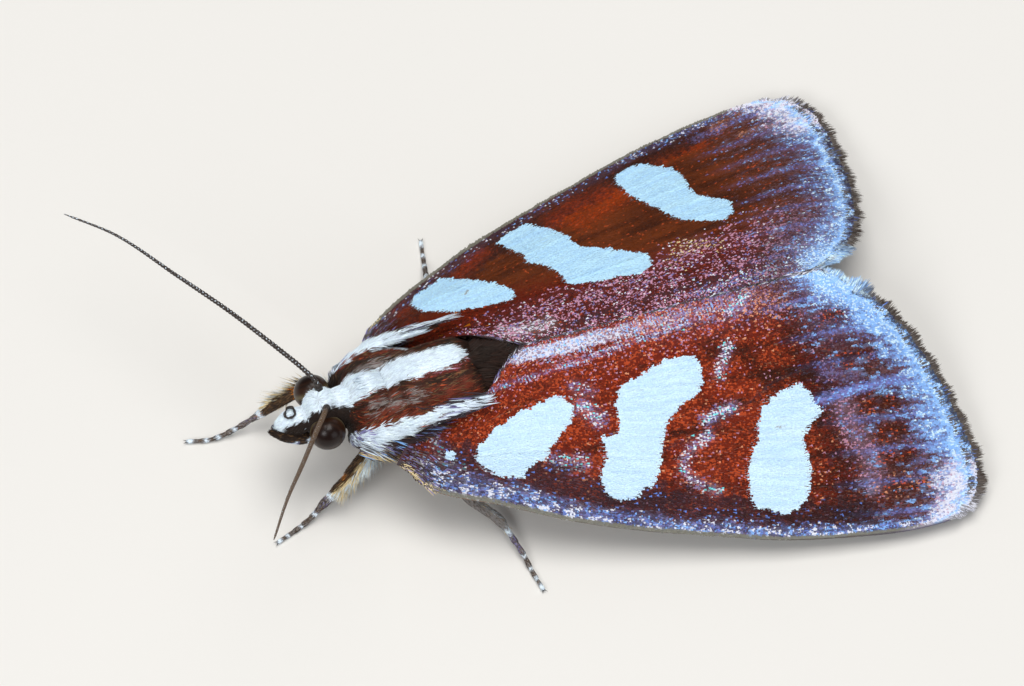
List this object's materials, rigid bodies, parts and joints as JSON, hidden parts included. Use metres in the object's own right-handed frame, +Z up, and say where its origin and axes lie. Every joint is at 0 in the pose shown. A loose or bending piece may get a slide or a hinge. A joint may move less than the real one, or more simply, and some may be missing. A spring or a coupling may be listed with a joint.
{
  "type": "moth, mimeusemia perakana",
  "caption": "Life-size still model of a dark red-brown moth at rest, wings held roof-wise with bluish-white spots, feelers forward, feet on the floor.",
  "frame": {"origin": "on the floor under the middle of the abdomen, on the small flat where the body rests", "axes": "+Z up from the floor, -Y towards the head, +X towards the insect's left side"},
  "size_m": [0.0244, 0.0366, 0.015],
  "materials": {
    "wing_scales": "dark red-brown overlapping scales with bluish-white spots and a lilac dusting",
    "hindwing_scales": "orange overlapping scales with a dark border",
    "white_fur": "white hair-scales",
    "brown_fur": "red-brown and dark brown hair-scales",
    "dark_fur": "black-brown hair-scales",
    "abdomen_fur": "orange-yellow hair-scales with dark rings",
    "eye": "glossy dark brown, finely faceted",
    "feeler": "dark, finely ringed with white scales",
    "leg_scales": "black-brown banded with white and cream scales"
  },
  "bodies": {
    "root": {"abdomen": "abdomen_fur", "antenna_l": "feeler", "antenna_r": "feeler", "collar": "white_fur", "crest": "dark_fur", "eye_l": "eye", "eye_r": "eye", "foreleg_l": "leg_scales", "foreleg_r": "leg_scales", "forewing_l": "wing_scales", "forewing_r": "wing_scales", "head": "white_fur", "hindleg_l": "leg_scales", "hindleg_r": "leg_scales", "hindwing_l": "hindwing_scales", "hindwing_r": "hindwing_scales", "midleg_l": "leg_scales", "midleg_r": "leg_scales", "palp_l": "dark_fur", "palp_r": "dark_fur", "tegula_l": "white_fur", "tegula_r": "white_fur", "thorax": "brown_fur"}
  },
  "joints": []
}
